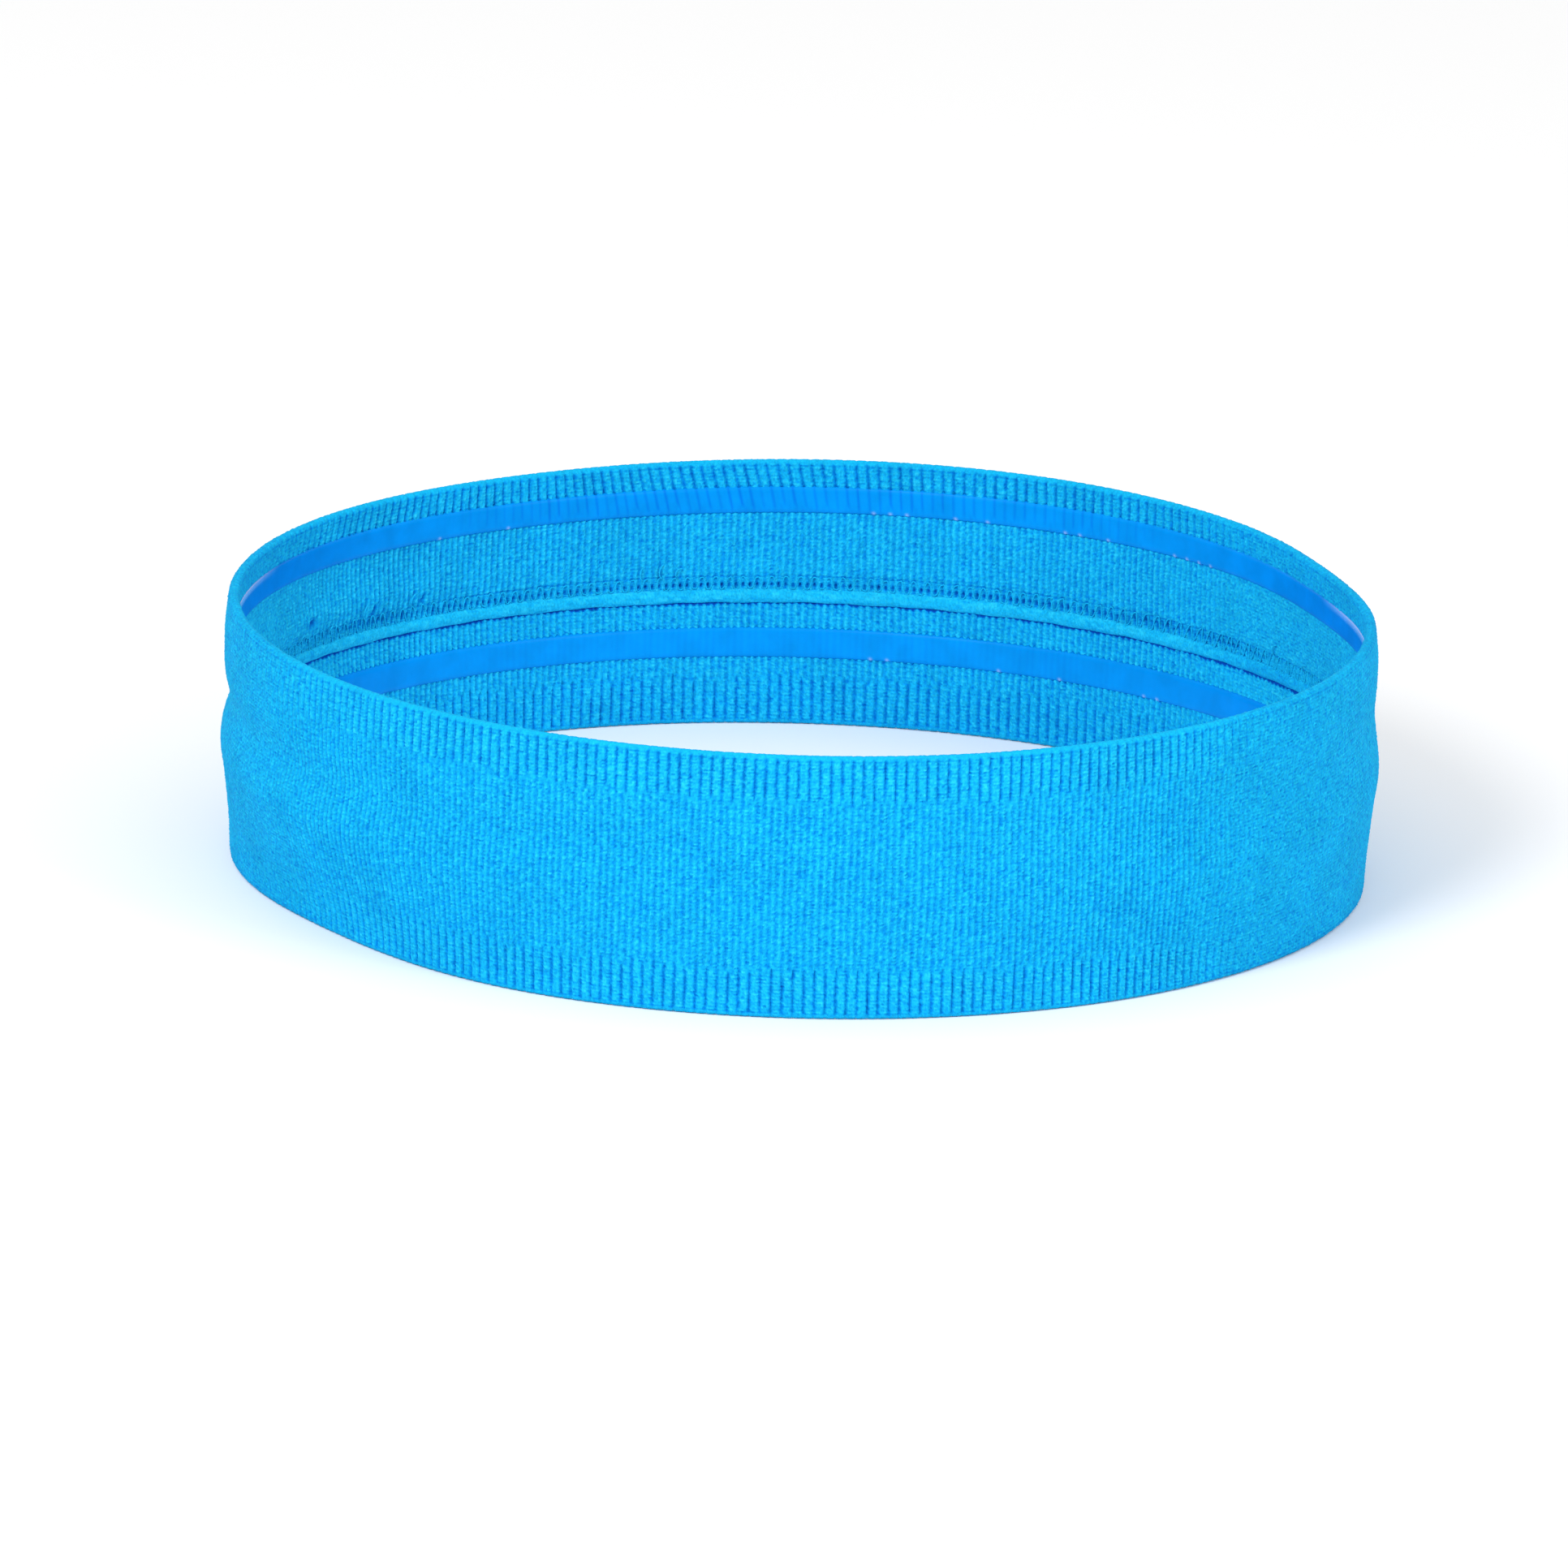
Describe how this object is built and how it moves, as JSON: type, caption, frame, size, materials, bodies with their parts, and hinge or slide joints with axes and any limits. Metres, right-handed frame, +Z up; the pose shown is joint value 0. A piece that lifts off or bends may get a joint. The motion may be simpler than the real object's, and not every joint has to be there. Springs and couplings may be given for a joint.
{
  "type": "sports headband",
  "caption": "Seamless double-layer knitted sweat headband ring with ribbed borders, a joining seam and silicone grip strips inside.",
  "frame": {"origin": "centre of the ring, on the surface that the lower fold stands on", "axes": "+Z up along the ring's axis, from the lower fold to the upper fold; -Y towards the viewer"},
  "size_m": [0.168, 0.168, 0.0395],
  "materials": {
    "knit": "matte ribbed knit",
    "silicone": "glossy translucent silicone",
    "thread": "matte spun thread"
  },
  "bodies": {
    "root": {"outer_layer": "knit", "top_border": "knit", "bottom_border": "knit", "inner_upper_layer": "knit", "inner_lower_layer": "knit", "rolled_hem": "knit", "tucked_edge": "knit", "upper_grip_strip": "silicone", "lower_grip_strip": "silicone", "needle_thread": "thread", "looper_thread": "thread", "thread_tails": "thread"}
  },
  "joints": []
}
